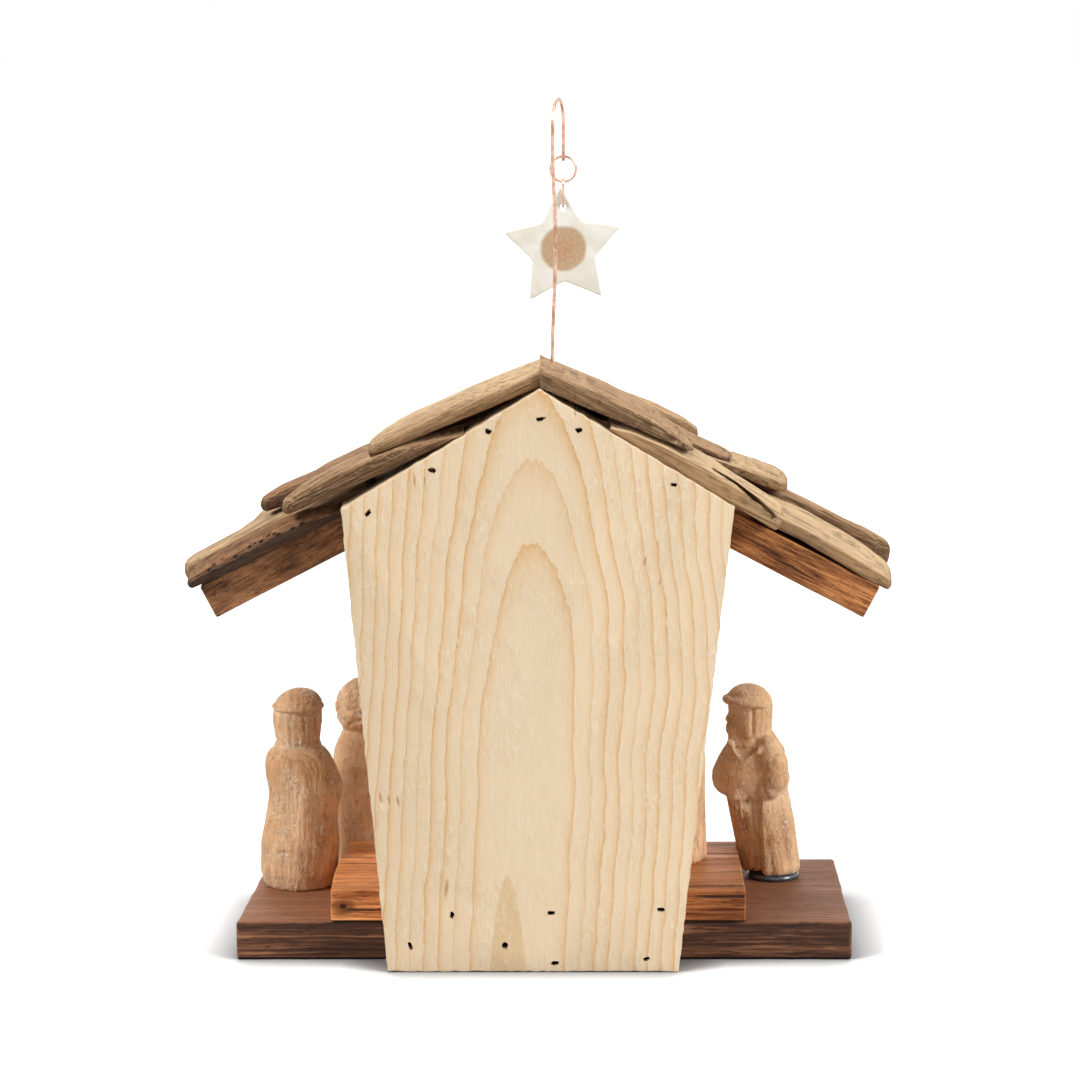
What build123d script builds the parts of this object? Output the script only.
"""Wooden nativity stable: a gabled back panel that carries a driftwood roof over carved figures.

Millimetres, +Z up. The origin lies on the underside of the base, at mid-depth on the stable's centre plane.
The open front faces -Y. "Left" is +X, the left of someone who stands behind the stable.
"""
import os
from math import copysign, cos, pi, radians, sin, tan

from build123d import *

os.makedirs("parts", exist_ok=True)

# Base board
BASE_WIDTH = 151.0
BASE_DEPTH = 62.0
BASE_THICK = 9.7
BASE_SHIFT = -1.0
BASE_RAKE = 4.3
BASE_EASED = 1.2

# Step board on the base
STEP_WIDTH = 101.6
STEP_DEPTH = 48.7
STEP_THICK = 8.0
STEP_SHIFT = 0.4
STEP_LIVE_EDGE = 2.6
STEP_WORN_EDGE = 1.1
STEP_ARRIS = 0.4

# Roof boards
ROOF_PITCH = 27.5
RIDGE_HEIGHT = 135.8
ROOF_LENGTH = 92.6
ROOF_THICK = 8.6
ROOF_DEPTH = 46.0

# Back panel, with a gable that stands proud of the roof boards
PANEL_THICK = 11.0
PANEL_FOOT_LEFT = 37.1
PANEL_FOOT_RIGHT = 33.7
PANEL_EAVE_LEFT = 47.5
PANEL_EAVE_RIGHT = 46.4
PANEL_APEX_PROUD = 6.9
PANEL_EAVE_PROUD = 2.8

# Driftwood slats: upper ends and tips are measured down the slope from the ridge of the boards
SLAT_GAP = 0.4
SLAT_FRONT_OVERHANG = 1.0
SLAT_SIDES = 12
SLAT_SQUARENESS = 2.6
SLAT_BELLY = 0.42
EAVE_SLAT_TOP = 46.0
EAVE_SLAT_THICK = 6.0
MIDDLE_SLAT_TOP = 13.0
MIDDLE_SLAT_THICK = 5.6
MIDDLE_SLAT_TIP = 62.0
RIDGE_SLAT_THICK = 6.4
RIDGE_SLAT_TIP = 38.0
RIDGE_SLAT_RISE = 1.0
SLAT_LAP = 1.4
FORK_START = 16.0
FORK_MOUTH = 1.1

# Copper wire, ring, bail and star
WIRE_SIDES = 8
WIRE_DIAMETER = 0.9
WIRE_X = -3.0
WIRE_SETBACK = 4.0
WIRE_SOCKET = 6.8
WIRE_STRAIGHT = 24.0
WIRE_BOW = 0.8
WIRE_BOW_RADIUS = 100.0
WIRE_HEIGHT = 75.4
HOOK_REACH = 12.0
HOOK_DRIFT = 2.6
HOOK_LEG = 7.5
EYE_RADIUS = 1.5
EYE_SIDE = 1.4
EYE_RETURN = 1.2
EYE_TAIL = 0.8
RING_RADIUS = 3.07
RING_WIRE = 0.65
BAIL_WIRE = 0.6
BAIL_HEIGHT = 6.7
STAR_RADIUS = 15.1
STAR_WAIST = 8.0
STAR_THICK = 1.6
STAR_TILT = 3.0
STAR_HOLE = 1.6
STAR_HOLE_RISE = 10.0
DISC_RADIUS = 5.3
DISC_THICK = 1.4
LINK_CLEARANCE = 0.06
BAIL_SIDE_CLEARANCE = 0.25

# Brads that hold the panel
BRAD_WIDTH = 1.2
BRAD_HEIGHT = 1.0
BRAD_LENGTH = 20.0
BRAD_HEAD_WIDTH = 2.2
BRAD_HEAD_THICK = 0.8
BRAD_SUNK = 1.3
BRAD_CLEARANCE = 0.04
GABLE_BRAD_TILT = 20.0

# Carved figures: where they stand from the step's ends and front, and the disc under one of them
FIGURE_SIDES = 14
CAP_BESIDE_STEP = 9.7
CAP_Y = -4.9
HOOD_INSIDE_STEP = 5.2
HOOD_BEFORE_STEP = 6.6
MANTLE_BESIDE_STEP = 9.2
MANTLE_Y = -12.8
VEIL_INSIDE_STEP = 18.7
VEIL_Y = 2.0
CLOAK_INSIDE_STEP = 16.6
CLOAK_Y = 0.0
MANTLE_DISC_RADIUS = 6.6
MANTLE_DISC_THICK = 1.6
MANTLE_LEAN = 9.0
MANTLE_FORWARD = 3.2

# Faces that other pieces line up with
REAR = BASE_DEPTH / 2
PANEL_REAR = REAR + PANEL_THICK
STEP_TOP = BASE_THICK + STEP_THICK
STEP_FRONT = REAR - STEP_DEPTH
STEP_LEFT = STEP_SHIFT + STEP_WIDTH / 2
STEP_RIGHT = STEP_SHIFT - STEP_WIDTH / 2
ROOF_FRONT = REAR - ROOF_DEPTH
PITCH = radians(ROOF_PITCH)
LEFT = 1
RIGHT = -1


def save(piece, name):
    """Label a finished piece and write it under its own name."""
    piece.label = name
    export_step(piece, f"parts/{name}.step")


def faceted(rings):
    """Solid with flat facets through like rings of corners, closed by the first ring and the last."""
    facets = []
    for near, far in zip(rings, rings[1:]):
        for number in range(len(near)):
            corners = (near[number - 1], near[number], far[number], far[number - 1])
            facets.append(Face(Wire.make_polygon(corners)))
    for end in (rings[0], rings[-1]):
        facets.append(Face(Wire.make_polygon(end)))
    return Solid(Shell(facets))


def ring_on(plane, outline):
    """Corners of a flat outline, moved onto a plane."""
    return [plane.from_local_coords((across, upward, 0)) for across, upward in outline]


def on_slope(side, down, y, rise):
    """Point of a roof slope: down from the ridge along the boards, and rise above their top face."""
    x = side * (down * cos(PITCH) + rise * sin(PITCH))
    z = RIDGE_HEIGHT - down * sin(PITCH) + rise * cos(PITCH)
    return (x, y, z)


def drive_plane(x, z, tilt):
    """Plane on the panel's rear face, looking the way a brad is driven."""
    heading = Vector(0, -cos(radians(tilt)), -sin(radians(tilt)))
    return Plane(origin=(x, PANEL_REAR, z), x_dir=(1, 0, 0), z_dir=heading)


def eave_corner(side):
    """Corner where the panel's side meets its gable, standing proud of the roof board."""
    reach = PANEL_EAVE_LEFT if side == LEFT else PANEL_EAVE_RIGHT
    return (side * reach, RIDGE_HEIGHT - reach * tan(PITCH) + PANEL_EAVE_PROUD)


APEX = (0.0, RIDGE_HEIGHT + PANEL_APEX_PROUD)


def gable_height(x):
    """Height of the panel's gable edge at one place across the panel."""
    corner = eave_corner(LEFT if x > 0 else RIGHT)
    return APEX[1] + (corner[1] - APEX[1]) * x / corner[0]


# Where the brads are driven: below the gable edge, above the step's underside, above the base's underside
GABLE_MARKS = [(40.9, 5.0), (25.6, 4.1), (12.3, 2.7), (0.0, 7.2), (-9.2, 4.2), (-31.8, 3.6)]
STEP_MARKS = [(21.3, 4.6), (-2.7, 5.1), (-29.3, 5.9)]
BASE_MARKS = [(31.5, 6.6), (8.5, 6.6), (-3.6, 2.2), (-25.7, 3.3)]
GABLE_BRADS = [(x, gable_height(x) - below, GABLE_BRAD_TILT) for x, below in GABLE_MARKS]
STEP_BRADS = [(x, BASE_THICK + above, 0.0) for x, above in STEP_MARKS]
BASE_BRADS = [(x, above, 0.0) for x, above in BASE_MARKS]
BRADS = GABLE_BRADS + STEP_BRADS + BASE_BRADS


def brad_shank(x, z, tilt, clearance, mode):
    """Rectangular shank of one brad, or the hole that it makes."""
    with BuildSketch(drive_plane(x, z, tilt).offset(BRAD_SUNK)) as section:
        Rectangle(BRAD_WIDTH + 2 * clearance, BRAD_HEIGHT + 2 * clearance)
    extrude(section.sketch, amount=BRAD_LENGTH + clearance, mode=mode)


def brad_holes(places):
    """Cut the shank holes of the given brads out of the piece being built."""
    for x, z, tilt in places:
        brad_shank(x, z, tilt, BRAD_CLEARANCE, Mode.SUBTRACT)


# Base board: right end square, left end sawn out of square, edges eased
with BuildPart() as base_board:
    base_left = BASE_SHIFT + BASE_WIDTH / 2
    base_right = BASE_SHIFT - BASE_WIDTH / 2
    with BuildSketch():
        with BuildLine():
            Polyline(
                (base_right, -REAR),
                (base_left - BASE_RAKE, -REAR),
                (base_left, REAR),
                (base_right, REAR),
                close=True,
            )
        make_face()
    extrude(amount=BASE_THICK)
    chamfer(base_board.edges().filter_by(Axis.Z), BASE_EASED)
    chamfer(base_board.edges().group_by(Axis.Z)[-1], BASE_EASED)
    brad_holes(BASE_BRADS)
save(base_board.part, "base_board")

# Step board: its left end keeps the tree's curved edge
with BuildPart() as step_board:
    with BuildSketch(Plane.XY.offset(BASE_THICK)):
        with BuildLine():
            Polyline(
                (STEP_LEFT, REAR),
                (STEP_RIGHT, REAR),
                (STEP_RIGHT, STEP_FRONT),
                (STEP_LEFT - STEP_LIVE_EDGE, STEP_FRONT),
            )
            ThreePointArc(
                (STEP_LEFT - STEP_LIVE_EDGE, STEP_FRONT),
                (STEP_LEFT, REAR - STEP_DEPTH / 2.5),
                (STEP_LEFT, REAR),
            )
        make_face()
    extrude(amount=STEP_THICK)
    rear_edges = step_board.edges().filter_by(Axis.X).group_by(Axis.Y)[-1]
    chamfer(rear_edges.sort_by(Axis.Z)[0], STEP_WORN_EDGE)
    chamfer(step_board.faces().sort_by(Axis.Z)[-1].edges(), STEP_ARRIS)
    brad_holes(STEP_BRADS)
save(step_board.part, "step_board")


# Back panel: hand-sawn, so that its two sides differ; drawn on the rear face, seen from behind
with BuildPart() as back_panel:
    with BuildSketch(Plane(origin=(0, PANEL_REAR, 0), x_dir=(1, 0, 0), z_dir=(0, -1, 0))):
        with BuildLine():
            Polyline(
                (PANEL_FOOT_LEFT, 0),
                eave_corner(LEFT),
                APEX,
                eave_corner(RIGHT),
                (-PANEL_FOOT_RIGHT, 0),
                close=True,
            )
        make_face()
    extrude(amount=PANEL_THICK)
    brad_holes(BRADS)
    for brad_x, brad_z, brad_tilt in BRADS:
        with BuildSketch(drive_plane(brad_x, brad_z, brad_tilt).offset(-BRAD_SUNK)):
            Rectangle(BRAD_HEAD_WIDTH + 2 * BRAD_CLEARANCE, BRAD_HEIGHT + 2 * BRAD_CLEARANCE)
        extrude(amount=2 * BRAD_SUNK + BRAD_HEAD_THICK, mode=Mode.SUBTRACT)
save(back_panel.part, "back_panel")

# Brads with T heads, sunk below the panel's face
with BuildPart() as panel_brads:
    for brad_x, brad_z, brad_tilt in BRADS:
        brad_shank(brad_x, brad_z, brad_tilt, 0.0, Mode.ADD)
        with BuildSketch(drive_plane(brad_x, brad_z, brad_tilt).offset(BRAD_SUNK)):
            Rectangle(BRAD_HEAD_WIDTH, BRAD_HEIGHT)
        extrude(amount=BRAD_HEAD_THICK)
save(panel_brads.part, "panel_brads")

WIRE_Y = REAR - WIRE_SETBACK
WIRE_FOOT = RIDGE_HEIGHT - abs(WIRE_X) * tan(PITCH) - WIRE_SOCKET


def wire_hole():
    """Drill the upright hole that the copper wire is planted in."""
    with BuildSketch(Plane(origin=(WIRE_X, WIRE_Y, WIRE_FOOT))) as section:
        Circle(WIRE_DIAMETER / 2 + LINK_CLEARANCE)
    extrude(section.sketch, amount=WIRE_HEIGHT, mode=Mode.SUBTRACT)


def roof_board(side):
    """Board of one slope: mitred at the ridge, cut square at the eave."""
    with BuildPart() as board:
        ridge_under = (0, RIDGE_HEIGHT - ROOF_THICK / cos(PITCH))
        eave_top = on_slope(side, ROOF_LENGTH, 0, 0)
        eave_under = on_slope(side, ROOF_LENGTH, 0, -ROOF_THICK)
        with BuildSketch(Plane(origin=(0, REAR, 0), x_dir=(1, 0, 0), z_dir=(0, -1, 0))):
            with BuildLine():
                Polyline(
                    (0, RIDGE_HEIGHT),
                    (eave_top[0], eave_top[2]),
                    (eave_under[0], eave_under[2]),
                    ridge_under,
                    close=True,
                )
            make_face()
        extrude(amount=ROOF_DEPTH)
        brad_holes([brad for brad in GABLE_BRADS if side * brad[0] > -BRAD_WIDTH])
        if side * WIRE_X > 0:
            wire_hole()
    return board.part


save(roof_board(LEFT), "roof_board_left")
save(roof_board(RIGHT), "roof_board_right")


def worn_outline(half_width, half_height):
    """Corners of a slat's section: an ellipse drawn out towards a rectangle."""
    corners = []
    for number in range(SLAT_SIDES):
        angle = 2 * pi * (number + 0.5) / SLAT_SIDES
        across = copysign(abs(cos(angle)) ** (2 / SLAT_SQUARENESS), cos(angle))
        upward = copysign(abs(sin(angle)) ** (2 / SLAT_SQUARENESS), sin(angle))
        corners.append((half_width * across, half_height * upward))
    return corners


def seat_plane(side, seat):
    """Plane under a slat, through two (down, rise) points of its seat."""
    upper = Vector(*on_slope(side, seat[0][0], 0, seat[0][1]))
    lower = Vector(*on_slope(side, seat[1][0], 0, seat[1][1]))
    run = (lower - upper).normalized()
    outward = run.cross(Vector(0, side, 0)) * 1.0
    return Plane(origin=upper, x_dir=run, z_dir=outward)


def seat_rise(seat, down):
    """Height of a seat above the board at one place on the slope."""
    (down_a, rise_a), (down_b, rise_b) = seat
    return rise_a + (rise_b - rise_a) * (down - down_a) / (down_b - down_a)


# How a slat swells and tapers from its upper end to its tip
SLAT_TAPER = [(0.0, 0.86), (0.05, 0.95), (0.35, 1.0), (0.7, 0.97), (0.88, 0.87), (0.965, 0.68), (1.0, 0.42)]


def slat(side, top, tip, rear, front, thick, seat, covering=None, mitred=False, forked=False):
    """One driftwood slat, flat where it lies on its seat and where the course above lies on it."""
    along = Vector(side * cos(PITCH), 0, -sin(PITCH))
    half_width = (rear - front - SLAT_GAP) / 2
    half_height = (1 - SLAT_BELLY) * thick
    rings = []
    for share, size in SLAT_TAPER:
        down = top + share * (tip - top)
        centre = on_slope(side, down, (rear + front) / 2, seat_rise(seat, down) + SLAT_BELLY * thick)
        section = Plane(origin=centre, x_dir=(0, side, 0), z_dir=along)
        rings.append(ring_on(section, worn_outline(half_width * size, half_height * size)))
    with BuildPart() as piece:
        add(faceted(rings))
        split(bisect_by=seat_plane(side, seat), keep=Keep.TOP)
        if covering:
            split(bisect_by=seat_plane(side, covering), keep=Keep.BOTTOM)
        if mitred:
            split(bisect_by=Plane.YZ, keep=Keep.TOP if side == LEFT else Keep.BOTTOM)
            if side * WIRE_X > 0 and front < WIRE_Y < rear:
                wire_hole()
        if forked:
            split_rise = seat_rise(seat, tip) + thick / 2
            across = seat_plane(side, ((0, 0), (tip, 0)))
            with BuildSketch(Plane(origin=on_slope(side, tip, rear, split_rise), x_dir=across.x_dir,
                                   z_dir=(0, -side, 0))):
                with BuildLine():
                    Polyline((-FORK_START, 0), (FORK_MOUTH, FORK_MOUTH), (FORK_MOUTH, -FORK_MOUTH), close=True)
                make_face()
            extrude(amount=rear - front, both=True, mode=Mode.SUBTRACT)
    return piece.part


def slope_point(point):
    """Turn an (x, z) point of the left half into (down, rise) on the slope."""
    x, z = point
    drop = z - RIDGE_HEIGHT
    return (x * cos(PITCH) - drop * sin(PITCH), x * sin(PITCH) + drop * cos(PITCH))


def gable_rise(side, down):
    """Height of the panel's gable edge above the board, along the slope."""
    corner = eave_corner(side)
    return seat_rise((slope_point(APEX), slope_point((abs(corner[0]), corner[1]))), down)


# Edges between the slats of a course, as distances in front of the panel's rear face
LEFT_EDGES = {"eave": (5.5, 17.0, 31.5, 44.5), "middle": (1.0, 17.0, 31.5, 44.5), "ridge": (1.0, 19.0, 33.0, 46.0)}
RIGHT_EDGES = {"eave": (10.4, 27.0, 36.5, 47.0), "middle": (0.5, 20.0, 36.5, 47.0), "ridge": (0.5, 21.5, 36.5, 47.0)}

# How far each slat's tip goes past the board's end (eave) or past its course's usual tip
LEFT_TIPS = {"eave": (2.0, 3.4, -7.3, -12.3), "middle": (3.5, 10.0, 4.0, 0.0), "ridge": (2.5, 0.0, -2.0, -4.0)}
RIGHT_TIPS = {"eave": (2.9, 1.9, -4.3, -12.3), "middle": (1.2, 1.0, -4.0, -7.0), "ridge": (-1.5, 9.5, 1.5, -4.0)}

# How much thicker each slat is than its course, from the rear to the thin ones at the front
LEFT_EXTRA = {"eave": (0.0, 0.2, -0.4, -0.8), "middle": (0.0, -0.4, -0.4, -0.8), "ridge": (-0.8, 0.0, -0.8, -1.6)}
RIGHT_EXTRA = {"eave": (0.0, 2.6, -0.4, -0.8), "middle": (0.0, -1.4, -0.4, -0.8), "ridge": (-0.8, -2.2, 0.4, -1.6)}

# How much higher than the thinnest lie the seats of each column's middle and ridge slats
MIDDLE_LIFT = {LEFT: (0.0, 1.8, 0.0, 0.0), RIGHT: (0.0, 3.6, 0.0, 0.0)}
RIDGE_LIFT = {LEFT: (0.0, 1.7, 0.0, 0.0), RIGHT: (0.0, 1.9, 0.0, 0.0)}

# Eave slats lie flat on the boards; the others lie on the course below
EAVE_SEAT = ((0.0, 0.0), (ROOF_LENGTH, 0.0))


def field_seats(side, number, middle_thick):
    """Seats of the middle and ridge slats of one column in front of the verge."""
    lift = MIDDLE_LIFT[side][number]
    middle = ((MIDDLE_SLAT_TOP, lift / 4), (MIDDLE_SLAT_TIP, EAVE_SLAT_THICK - SLAT_LAP + lift))
    ridge_end = seat_rise(middle, RIDGE_SLAT_TIP) + middle_thick - SLAT_LAP
    ridge = ((0.0, RIDGE_SLAT_RISE + RIDGE_LIFT[side][number]), (RIDGE_SLAT_TIP, ridge_end))
    return middle, ridge


# The rearmost slats lie over the panel's gable edge
VERGE_MIDDLE_TOP = {LEFT: 23.0, RIGHT: 16.0}
VERGE_EAVE_TOP = {LEFT: 54.0, RIGHT: 64.8}
VERGE_RIDGE_LIFT = 3.3
RIDGE_SLAT_TOP = -9.0


def verge_seats(side):
    """Seats of the rearmost middle and ridge slats, which rest on the panel."""
    top = VERGE_MIDDLE_TOP[side]
    corner_down = slope_point((abs(eave_corner(side)[0]), eave_corner(side)[1]))[0]
    if side == LEFT:
        middle = ((top, gable_rise(side, top)), (MIDDLE_SLAT_TIP, EAVE_SLAT_THICK + SLAT_GAP))
    else:
        middle = ((top, gable_rise(side, top)), (corner_down, gable_rise(side, corner_down)))
    apex = slope_point(APEX)
    return middle, (apex, (RIDGE_SLAT_TIP, apex[1] + VERGE_RIDGE_LIFT))


def roof_slope(side, edges, tips, extra):
    """All slats of one slope in three courses; the first of each course is the rearmost, on the verge."""
    word = "left" if side == LEFT else "right"
    front_edge = PANEL_REAR - ROOF_FRONT + SLAT_FRONT_OVERHANG
    for number in range(len(edges["eave"])):
        verge = number == 0
        middle_thick = MIDDLE_SLAT_THICK + extra["middle"][number]
        middle_seat, ridge_seat = verge_seats(side) if verge else field_seats(side, number, middle_thick)
        reach = {}
        for course, bounds in edges.items():
            following = (bounds + (front_edge,))[number + 1]
            reach[course] = (PANEL_REAR - bounds[number], PANEL_REAR - following)
        covering = None if verge and side == RIGHT else middle_seat
        eave = slat(
            side,
            VERGE_EAVE_TOP[side] if verge else EAVE_SLAT_TOP,
            ROOF_LENGTH + tips["eave"][number],
            *reach["eave"],
            EAVE_SLAT_THICK + extra["eave"][number],
            EAVE_SEAT,
            covering,
        )
        middle = slat(
            side,
            VERGE_MIDDLE_TOP[side] if verge else MIDDLE_SLAT_TOP,
            MIDDLE_SLAT_TIP + tips["middle"][number],
            *reach["middle"],
            middle_thick,
            middle_seat,
            ridge_seat,
            forked=verge and side == RIGHT,
        )
        ridge = slat(
            side,
            RIDGE_SLAT_TOP,
            RIDGE_SLAT_TIP + tips["ridge"][number],
            *reach["ridge"],
            RIDGE_SLAT_THICK + extra["ridge"][number],
            ridge_seat,
            mitred=True,
        )
        save(eave, f"slat_{word}_eave_{number + 1}")
        save(middle, f"slat_{word}_middle_{number + 1}")
        save(ridge, f"slat_{word}_ridge_{number + 1}")


roof_slope(LEFT, LEFT_EDGES, LEFT_TIPS, LEFT_EXTRA)
roof_slope(RIGHT, RIGHT_EDGES, RIGHT_TIPS, RIGHT_EXTRA)

# Star wire: planted in the ridge, slightly bowed, bent forward into a hook that ends in an eye
HOOK_BASE = WIRE_FOOT + WIRE_SOCKET + WIRE_HEIGHT - HOOK_REACH / 2
EYE_X = WIRE_X - HOOK_DRIFT
LEG_Y = WIRE_Y - HOOK_REACH
EYE_Y = LEG_Y - EYE_RADIUS
EYE_BEND = HOOK_BASE - HOOK_LEG
with BuildPart() as star_wire:
    with BuildLine() as wire_path:
        bow_start = WIRE_FOOT + WIRE_STRAIGHT
        shaft = FilletPolyline(
            (WIRE_X, WIRE_Y, WIRE_FOOT),
            (WIRE_X, WIRE_Y, bow_start),
            (WIRE_X - WIRE_BOW, WIRE_Y, (bow_start + HOOK_BASE) / 2),
            (WIRE_X, WIRE_Y, HOOK_BASE - WIRE_STRAIGHT / 2),
            (WIRE_X, WIRE_Y, HOOK_BASE),
            radius=WIRE_BOW_RADIUS,
        )
        ThreePointArc(
            (WIRE_X, WIRE_Y, HOOK_BASE),
            ((WIRE_X + EYE_X) / 2, (WIRE_Y + LEG_Y) / 2, HOOK_BASE + ((HOOK_REACH**2 + HOOK_DRIFT**2) ** 0.5) / 2),
            (EYE_X, LEG_Y, HOOK_BASE),
        )
        Line((EYE_X, LEG_Y, HOOK_BASE), (EYE_X, LEG_Y, EYE_BEND))
        ThreePointArc(
            (EYE_X, LEG_Y, EYE_BEND),
            (EYE_X, EYE_Y, EYE_BEND - EYE_RADIUS),
            (EYE_X, LEG_Y - 2 * EYE_RADIUS, EYE_BEND),
        )
        eye_side = Line(
            (EYE_X, LEG_Y - 2 * EYE_RADIUS, EYE_BEND),
            (EYE_X, LEG_Y - 2 * EYE_RADIUS, EYE_BEND + EYE_SIDE),
        )
        turn_middle = EYE_RETURN * (1 - cos(pi / 4))
        ThreePointArc(
            eye_side @ 1,
            (EYE_X, LEG_Y - 2 * EYE_RADIUS + turn_middle, EYE_BEND + EYE_SIDE + EYE_RETURN * sin(pi / 4)),
            (EYE_X, LEG_Y - 2 * EYE_RADIUS + EYE_RETURN, EYE_BEND + EYE_SIDE + EYE_RETURN),
        )
        tail_start = Vector(EYE_X, LEG_Y - 2 * EYE_RADIUS + EYE_RETURN, EYE_BEND + EYE_SIDE + EYE_RETURN)
        Line(tail_start, tail_start + Vector(0, EYE_TAIL, 0))
    with BuildSketch(Plane(origin=shaft @ 0, z_dir=shaft % 0)):
        RegularPolygon(WIRE_DIAMETER / 2, WIRE_SIDES)
    sweep(path=wire_path.wires()[0])
save(star_wire.part, "star_wire")

# Ring that hangs in the eye, facing front and back
EYE_BOTTOM = EYE_BEND - EYE_RADIUS
RING_TOP = EYE_BOTTOM + WIRE_DIAMETER / 2 + RING_WIRE / 2 + LINK_CLEARANCE
RING_CENTRE = RING_TOP - RING_RADIUS
with BuildPart() as star_ring:
    with BuildSketch(Plane(origin=(EYE_X, EYE_Y, RING_CENTRE), x_dir=(1, 0, 0), z_dir=(0, 0, 1))):
        with Locations((RING_RADIUS, 0)):
            RegularPolygon(RING_WIRE / 2, WIRE_SIDES)
    revolve(axis=Axis((EYE_X, EYE_Y, RING_CENTRE), (0, 1, 0)))
save(star_ring.part, "star_ring")

# Bail: a long narrow link through the ring and the star's hole
RING_BOTTOM = RING_CENTRE - RING_RADIUS
BAIL_TOP = RING_BOTTOM + RING_WIRE / 2 + BAIL_WIRE / 2 + LINK_CLEARANCE
BAIL_BOTTOM = BAIL_TOP - BAIL_HEIGHT
BAIL_BEND = STAR_THICK / 2 + BAIL_SIDE_CLEARANCE + BAIL_WIRE / 2
with BuildPart() as star_bail:
    for bend_z, keep_up in ((BAIL_TOP - BAIL_BEND, True), (BAIL_BOTTOM + BAIL_BEND, False)):
        with BuildSketch(Plane(origin=(EYE_X, EYE_Y, bend_z))):
            with Locations((0, BAIL_BEND if keep_up else -BAIL_BEND)):
                RegularPolygon(BAIL_WIRE / 2, WIRE_SIDES)
        revolve(axis=Axis((EYE_X, EYE_Y, bend_z), (1, 0, 0)), revolution_arc=180)
    for leg_y in (EYE_Y - BAIL_BEND, EYE_Y + BAIL_BEND):
        with BuildSketch(Plane(origin=(EYE_X, leg_y, BAIL_BOTTOM + BAIL_BEND))):
            RegularPolygon(BAIL_WIRE / 2, WIRE_SIDES)
        extrude(amount=BAIL_HEIGHT - 2 * BAIL_BEND)
save(star_bail.part, "star_bail")

# Star of pale shell; it hangs a little askew because its hole is off the tip's middle
BAIL_INSIDE = BAIL_BEND - BAIL_WIRE / 2
HOLE_TOP = BAIL_BOTTOM + BAIL_BEND - (BAIL_INSIDE**2 - (STAR_THICK / 2) ** 2) ** 0.5 + LINK_CLEARANCE
STAR_HOLE_Z = HOLE_TOP - STAR_HOLE / 2
STAR_CENTRE_Z = STAR_HOLE_Z - STAR_HOLE_RISE
STAR_FRONT = EYE_Y - STAR_THICK / 2
with BuildPart() as star:
    face = Plane(origin=(EYE_X, EYE_Y + STAR_THICK / 2, STAR_CENTRE_Z), x_dir=(1, 0, 0), z_dir=(0, -1, 0))
    corners = []
    for number in range(10):
        angle = pi / 2 - radians(STAR_TILT) + number * pi / 5
        reach = STAR_RADIUS if number % 2 == 0 else STAR_WAIST
        corners.append((reach * cos(angle), reach * sin(angle)))
    with BuildSketch(face):
        with BuildLine():
            Polyline(*corners, close=True)
        make_face()
        with Locations((0, STAR_HOLE_RISE)):
            Circle(STAR_HOLE / 2, mode=Mode.SUBTRACT)
    extrude(amount=STAR_THICK)
save(star.part, "star")

# Brown disc glued to the star's front
with BuildPart() as star_disc:
    with BuildSketch(Plane(origin=(EYE_X, STAR_FRONT, STAR_CENTRE_Z), x_dir=(1, 0, 0), z_dir=(0, -1, 0))):
        Circle(DISC_RADIUS)
    extrude(amount=DISC_THICK)
save(star_disc.part, "star_disc")


def carved_outline(half_width, half_depth, sides):
    """Corners of a carved section: a faceted ellipse."""
    angles = [2 * pi * (number + 0.5) / sides for number in range(sides)]
    return [(half_width * cos(angle), half_depth * sin(angle)) for angle in angles]


def carve_upright(stand, profile, roundness, lean, sides=FIGURE_SIDES, offset=(0.0, 0.0)):
    """Carve a form through level sections, given as (height, half width)."""
    rings = []
    for height, half_width in profile:
        across = offset[0] + height * tan(radians(lean))
        origin = stand.from_local_coords((across, offset[1], height))
        section = Plane(origin=origin, x_dir=stand.x_dir, z_dir=stand.z_dir)
        rings.append(ring_on(section, carved_outline(half_width, half_width * roundness, sides)))
    return faceted(rings)


ARM_SIDES = 8
FOREARM = [(0.0, 0.0, 2.6), (0.5, 0.8, 2.7), (0.85, 2.0, 2.3), (1.0, 2.4, 1.4)]


def carve_arm(stand, hand, shoulder, reach, elbow_height, lean):
    """Carve one bent arm: an upright sleeve, and a forearm that comes round to the front."""
    upper = [(elbow_height - 2.6, 1.9), (elbow_height - 1.0, 2.9), (elbow_height + 5.0, 3.1), (elbow_height + 10.0, 2.2)]
    sleeve = carve_upright(stand, upper, 1.0, lean, ARM_SIDES, (hand * shoulder, 0.0))
    rings = []
    for share, climb, size in FOREARM:
        height = elbow_height + climb
        across = hand * shoulder * (1 - 0.75 * share) + height * tan(radians(lean))
        origin = stand.from_local_coords((across, -share * reach, height))
        section = Plane(origin=origin, x_dir=stand.x_dir, z_dir=-stand.y_dir)
        rings.append(ring_on(section, carved_outline(size, size, ARM_SIDES)))
    return [sleeve, faceted(rings)]


def standing_place(x, y, z, facing):
    """Plane under a figure; its -Y direction is where the figure looks, turned by facing degrees."""
    turn = radians(facing)
    return Plane(origin=(x, y, z), x_dir=(cos(turn), sin(turn), 0), z_dir=(0, 0, 1))


def figure(stand, profile, roundness, arms=(), mantle=None, lean=0.0):
    """One carved stone figure: robe and head in one form, with arms and a mantle added to it."""
    with BuildPart() as carving:
        add(carve_upright(stand, profile, roundness, lean))
        if mantle:
            add(carve_upright(stand, mantle, roundness, lean, offset=(MANTLE_FORWARD, 0.0)))
        for hand, (shoulder, reach, elbow_height) in zip((LEFT, RIGHT), arms):
            for limb in carve_arm(stand, hand, shoulder, reach, elbow_height, lean):
                add(limb)
    return carving.part


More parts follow.
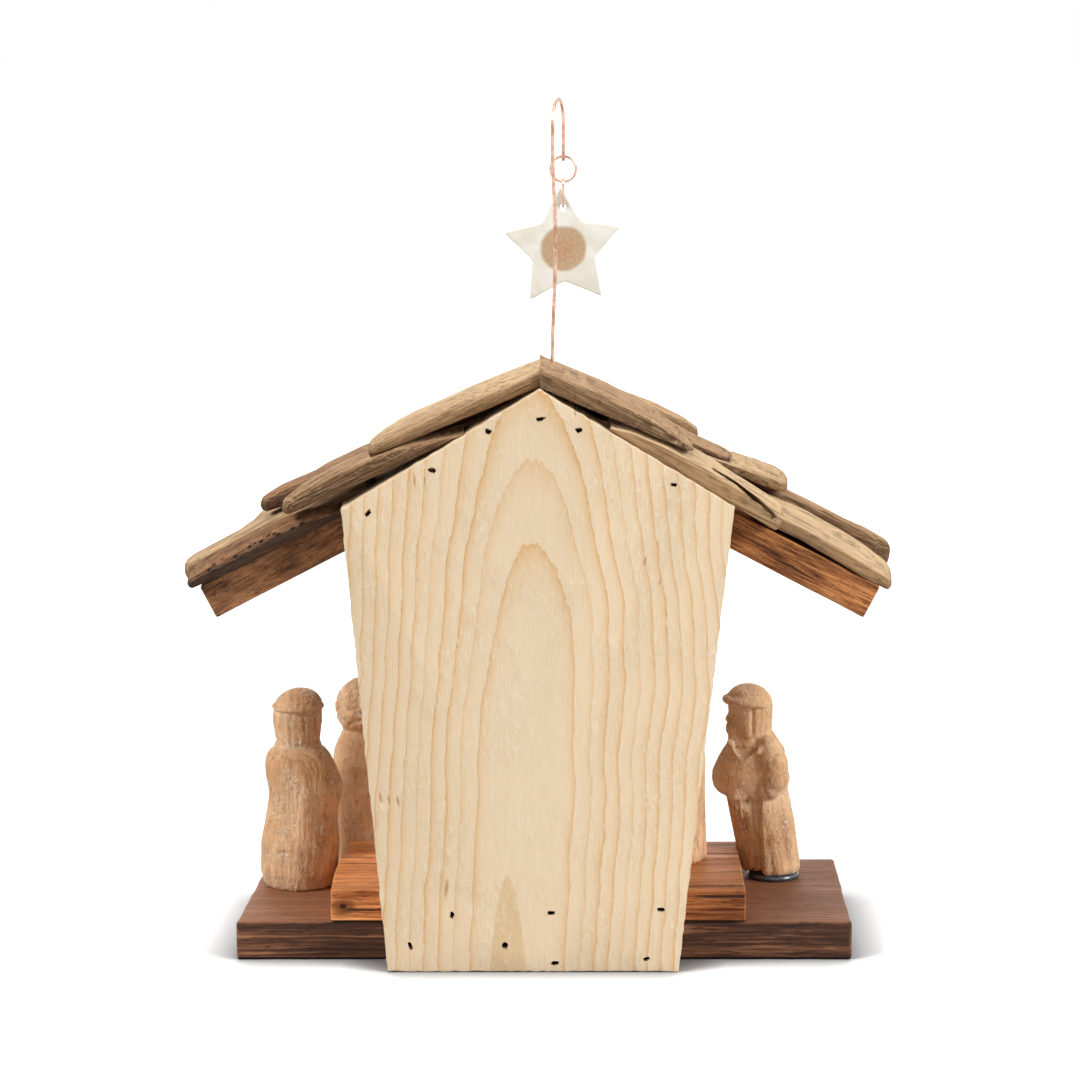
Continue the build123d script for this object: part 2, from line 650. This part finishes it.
CAP_PROFILE = [
    (0.0, 8.5), (1.2, 9.1), (9.0, 8.9), (20.0, 9.0), (28.0, 9.2), (32.0, 8.0), (35.5, 6.0), (38.0, 6.2), (43.5, 6.5),
    (45.0, 6.4), (45.6, 7.0), (47.2, 7.0), (47.8, 6.0), (49.8, 4.6), (50.8, 2.2),
]
HOOD_PROFILE = [
    (0.0, 6.6), (1.0, 7.1), (8.0, 6.9), (20.0, 7.3), (29.0, 7.4), (33.0, 6.2), (35.5, 5.4), (38.0, 6.0), (42.5, 6.4),
    (46.0, 5.5), (48.2, 3.6), (49.0, 1.6),
]
MANTLE_PROFILE = [
    (0.0, 6.4), (1.0, 6.8), (8.0, 7.0), (14.0, 7.4), (28.0, 7.6), (32.0, 6.6), (35.0, 5.2), (37.5, 5.8), (42.0, 6.3),
    (43.6, 6.3), (44.2, 6.8), (45.6, 6.6), (47.4, 4.9), (48.6, 2.2),
]
MANTLE_CAPE = [(13.0, 7.9), (14.0, 8.8), (24.0, 9.3), (29.5, 8.0), (33.5, 5.4)]
VEIL_PROFILE = [
    (0.0, 8.0), (1.0, 8.4), (8.0, 7.7), (18.0, 7.0), (25.0, 7.2), (29.0, 6.3), (31.5, 5.6), (34.0, 5.9), (38.0, 5.8),
    (41.5, 4.4), (43.0, 1.8),
]
CLOAK_PROFILE = [
    (0.0, 7.8), (1.0, 8.3), (9.0, 8.0), (20.0, 7.8), (28.0, 8.0), (32.0, 6.8), (34.5, 5.3), (37.0, 5.8), (42.0, 6.1),
    (45.0, 5.0), (47.0, 2.2),
]

CAP_STAND = standing_place(STEP_LEFT + CAP_BESIDE_STEP, CAP_Y, BASE_THICK, 0)
HOOD_STAND = standing_place(STEP_LEFT - HOOD_INSIDE_STEP, STEP_FRONT - HOOD_BEFORE_STEP, BASE_THICK, 0)
MANTLE_DISC_STAND = standing_place(STEP_RIGHT - MANTLE_BESIDE_STEP, MANTLE_Y, BASE_THICK, 0)
MANTLE_STAND = MANTLE_DISC_STAND.offset(MANTLE_DISC_THICK)
VEIL_STAND = standing_place(STEP_LEFT - VEIL_INSIDE_STEP, VEIL_Y, STEP_TOP, -35)
CLOAK_STAND = standing_place(STEP_RIGHT + CLOAK_INSIDE_STEP, CLOAK_Y, STEP_TOP, 40)

CAP_ARMS = [(5.6, 7.6, 25.5), (7.4, 7.6, 20.5)]
HOOD_ARMS = [(4.6, 5.2, 22.0), (4.6, 5.2, 22.0)]
VEIL_ARMS = [(5.0, 6.2, 19.0), (5.0, 6.2, 19.0)]
CLOAK_ARMS = [(5.6, 6.6, 21.0), (5.6, 6.6, 21.0)]

save(figure(CAP_STAND, CAP_PROFILE, 0.92, CAP_ARMS), "figure_cap")
save(figure(HOOD_STAND, HOOD_PROFILE, 0.86, HOOD_ARMS), "figure_hood")
save(figure(MANTLE_STAND, MANTLE_PROFILE, 0.92, mantle=MANTLE_CAPE, lean=MANTLE_LEAN), "figure_mantle")
save(figure(VEIL_STAND, VEIL_PROFILE, 0.95, VEIL_ARMS), "figure_veil")
save(figure(CLOAK_STAND, CLOAK_PROFILE, 0.95, CLOAK_ARMS), "figure_cloak")

# Dark disc that the leaning figure stands on
with BuildPart() as mantle_disc:
    with BuildSketch(MANTLE_DISC_STAND):
        Circle(MANTLE_DISC_RADIUS)
    extrude(amount=MANTLE_DISC_THICK)
    chamfer(mantle_disc.edges().group_by(Axis.Z)[-1], MANTLE_DISC_THICK / 3)
save(mantle_disc.part, "mantle_disc")

# Manger carved with the swaddled child in it
MANGER_LENGTH = 16.0
MANGER_WIDTH = 8.0
MANGER_HEIGHT = 8.0
MANGER_FLARE = 11.0
MANGER_RIM = 1.2
MANGER_DEEP = 2.6
SWADDLE_SIDES = 10
SWADDLE = [(-7.2, 1.6), (-6.4, 2.4), (-2.0, 3.3), (2.4, 3.3), (3.8, 2.4), (4.4, 2.6), (6.2, 2.9), (7.6, 2.2), (8.2, 1.0)]
with BuildPart() as infant_manger:
    manger_foot = Plane(origin=(0, 2.0, STEP_TOP))
    with BuildSketch(manger_foot):
        Rectangle(MANGER_LENGTH, MANGER_WIDTH)
    extrude(amount=MANGER_HEIGHT, taper=-MANGER_FLARE)
    rim_spread = 2 * MANGER_HEIGHT * tan(radians(MANGER_FLARE)) - 2 * MANGER_RIM
    with BuildSketch(manger_foot.offset(MANGER_HEIGHT)):
        Rectangle(MANGER_LENGTH + rim_spread, MANGER_WIDTH + rim_spread)
    extrude(amount=-MANGER_DEEP, mode=Mode.SUBTRACT)
    swaddle_rings = []
    for along_manger, size in SWADDLE:
        origin = manger_foot.from_local_coords((along_manger, 0, MANGER_HEIGHT - 0.2))
        section = Plane(origin=origin, x_dir=(0, 1, 0), z_dir=(1, 0, 0))
        swaddle_rings.append(ring_on(section, carved_outline(size, size * 0.9, SWADDLE_SIDES)))
    add(faceted(swaddle_rings))
save(infant_manger.part, "infant_manger")
